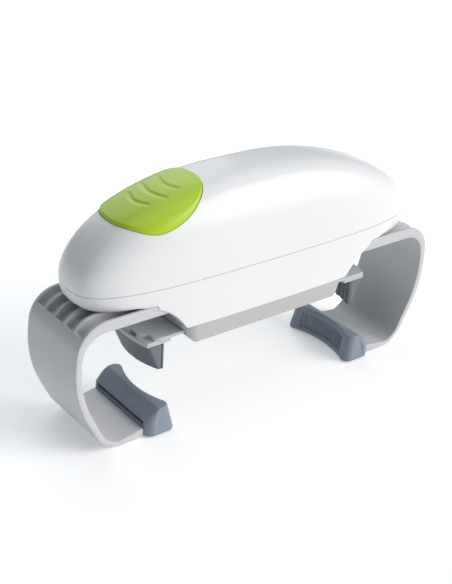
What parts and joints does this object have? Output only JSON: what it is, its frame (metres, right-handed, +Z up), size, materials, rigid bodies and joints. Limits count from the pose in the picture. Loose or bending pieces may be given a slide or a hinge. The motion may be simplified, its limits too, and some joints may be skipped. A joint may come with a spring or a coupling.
{
  "type": "electric jar opener",
  "caption": "Battery jar opener: rubber-padded arms slide in to hold a jar while geared jaws under a domed body grip and turn its lid; oval push button.",
  "frame": {"origin": "on the resting surface, at the middle of the line between the two arms, on the axis that the rotor turns about", "axes": "+Z up out of the dome, X along the body with the push button on the -X side, battery door on the +Y side"},
  "size_m": [0.2392, 0.0542, 0.132],
  "materials": {
    "white_shell": "glossy white moulded plastic",
    "green_button": "satin lime green plastic",
    "arm_plastic": "satin light grey plastic",
    "rotor_plastic": "satin light grey plastic",
    "jaw_plastic": "satin mid grey plastic",
    "jaw_rubber": "dark blue-grey moulded rubber",
    "grip_rubber": "dark ribbed rubber",
    "pad_rubber": "blue-grey moulded rubber",
    "inner_plastic": "black moulded plastic",
    "gear_plastic": "natural acetal",
    "shaft_steel": "plain steel",
    "motor_steel": "plated sheet steel",
    "spring_metal": "nickel plated spring steel",
    "brass_part": "plain brass",
    "washer_rubber": "brown friction washer",
    "board_resin": "green circuit board laminate",
    "cell_can": "plain metal can with a bare sleeve"
  },
  "bodies": {
    "housing": {"upper_shell": "white_shell", "lower_shell": "white_shell", "front_cell": "cell_can", "rear_cell": "cell_can", "battery_tray": "inner_plastic", "left_contact": "spring_metal", "right_contact": "spring_metal", "motor_can": "motor_steel", "motor_end_cap": "inner_plastic", "gear_axles": "shaft_steel", "lower_gear_plate": "motor_steel", "upper_gear_plate": "motor_steel", "gear_pillars": "shaft_steel", "gear_plate_screws": "shaft_steel", "circuit_board": "board_resin", "switch_body": "inner_plastic", "button_spring": "spring_metal", "housing_screws": "shaft_steel"},
    "left_arm": {"left_arm": "arm_plastic", "left_jar_pad": "pad_rubber", "left_arm_rack": "gear_plastic"},
    "right_arm": {"right_arm": "arm_plastic", "right_jar_pad": "pad_rubber", "right_arm_rack": "gear_plastic"},
    "arm_drive": {"arm_pinion": "gear_plastic", "arm_clutch_plate": "shaft_steel", "arm_friction_washer": "washer_rubber"},
    "rotor": {"rotor_frame": "rotor_plastic", "rotor_hub": "rotor_plastic", "rotor_ring": "shaft_steel", "hub_screws": "shaft_steel"},
    "jaw_drive": {"jaw_shaft": "shaft_steel", "jaw_pinion": "shaft_steel", "jaw_clutch_plate": "shaft_steel", "jaw_friction_washer": "washer_rubber"},
    "left_jaw": {"left_lid_jaw": "jaw_plastic", "left_jaw_block": "jaw_rubber", "left_jaw_grip": "grip_rubber", "left_jaw_rack": "gear_plastic"},
    "right_jaw": {"right_lid_jaw": "jaw_plastic", "right_jaw_block": "jaw_rubber", "right_jaw_grip": "grip_rubber", "right_jaw_rack": "gear_plastic"},
    "main_wheel": {"main_gear": "gear_plastic"},
    "third_wheel": {"third_gear": "gear_plastic"},
    "second_wheel": {"second_gear": "gear_plastic"},
    "first_wheel": {"first_gear": "gear_plastic"},
    "motor_rotor": {"motor_pinion": "brass_part", "motor_shaft": "shaft_steel"},
    "button": {"power_button": "green_button"},
    "plunger": {"switch_plunger": "inner_plastic"},
    "door": {"battery_door": "white_shell"}
  },
  "joints": [
    {"name": "left_arm_slide", "type": "slide", "parent": "housing", "child": "left_arm", "axis": [1, 0, 0], "range_m": [0, 0.032]},
    {"name": "right_arm_slide", "type": "slide", "parent": "housing", "child": "right_arm", "axis": [-1, 0, 0], "range_m": [0, 0.032]},
    {"name": "arm_drive_turn", "type": "hinge", "parent": "housing", "child": "arm_drive", "pos_m": [0, 0, 0.0779], "axis": [0, 0, -1], "range_deg": [0, 229.2]},
    {"name": "rotor_turn", "type": "hinge", "parent": "housing", "child": "rotor", "pos_m": [0, 0, 0.0593], "axis": [0, 0, 1], "continuous": true},
    {"name": "jaw_drive_turn", "type": "hinge", "parent": "rotor", "child": "jaw_drive", "pos_m": [0, 0, 0.0553], "axis": [0, 0, -1], "range_deg": [0, 272.2]},
    {"name": "left_jaw_slide", "type": "slide", "parent": "rotor", "child": "left_jaw", "axis": [1, 0, 0], "range_m": [0, 0.038]},
    {"name": "right_jaw_slide", "type": "slide", "parent": "rotor", "child": "right_jaw", "axis": [-1, 0, 0], "range_m": [0, 0.038]},
    {"name": "motor_turn", "type": "hinge", "parent": "housing", "child": "motor_rotor", "pos_m": [0.02738, 0, 0.0983], "axis": [0, 0, 1], "continuous": true},
    {"name": "first_wheel_turn", "type": "hinge", "parent": "housing", "child": "first_wheel", "pos_m": [0.00898, 0, 0.0955], "axis": [0, 0, 1], "continuous": true},
    {"name": "second_wheel_turn", "type": "hinge", "parent": "housing", "child": "second_wheel", "pos_m": [-0.00831, 0.00629, 0.0927], "axis": [0, 0, 1], "continuous": true},
    {"name": "third_wheel_turn", "type": "hinge", "parent": "housing", "child": "third_wheel", "pos_m": [-0.0256, 0, 0.0873], "axis": [0, 0, 1], "continuous": true},
    {"name": "main_wheel_turn", "type": "hinge", "parent": "housing", "child": "main_wheel", "pos_m": [0, 0, 0.0873], "axis": [0, 0, 1], "continuous": true},
    {"name": "button_press", "type": "slide", "parent": "housing", "child": "button", "axis": [0, 0, -1], "range_m": [0, 0.0015], "stiffness_N_per_m": 1200, "springref_m": -0.001, "deforming": ["button_spring"]},
    {"name": "plunger_press", "type": "slide", "parent": "housing", "child": "plunger", "axis": [0, 0, -1], "range_m": [0, 0.0015]},
    {"name": "door_pull", "type": "slide", "parent": "housing", "child": "door", "axis": [0, 1, 0], "range_m": [0, 0.02]}
  ],
  "couplings": [
    {"joint": "right_arm_slide", "follows": "left_arm_slide", "ratio": 1},
    {"joint": "arm_drive_turn", "follows": "left_arm_slide", "rad_per_m": 125},
    {"joint": "right_jaw_slide", "follows": "left_jaw_slide", "ratio": 1},
    {"joint": "jaw_drive_turn", "follows": "left_jaw_slide", "rad_per_m": 125},
    {"joint": "first_wheel_turn", "follows": "motor_turn", "ratio": -0.27778},
    {"joint": "second_wheel_turn", "follows": "motor_turn", "ratio": 0.07716},
    {"joint": "third_wheel_turn", "follows": "motor_turn", "ratio": -0.021433},
    {"joint": "main_wheel_turn", "follows": "motor_turn", "ratio": 0.0039692},
    {"joint": "plunger_press", "follows": "button_press", "ratio": 1}
  ]
}
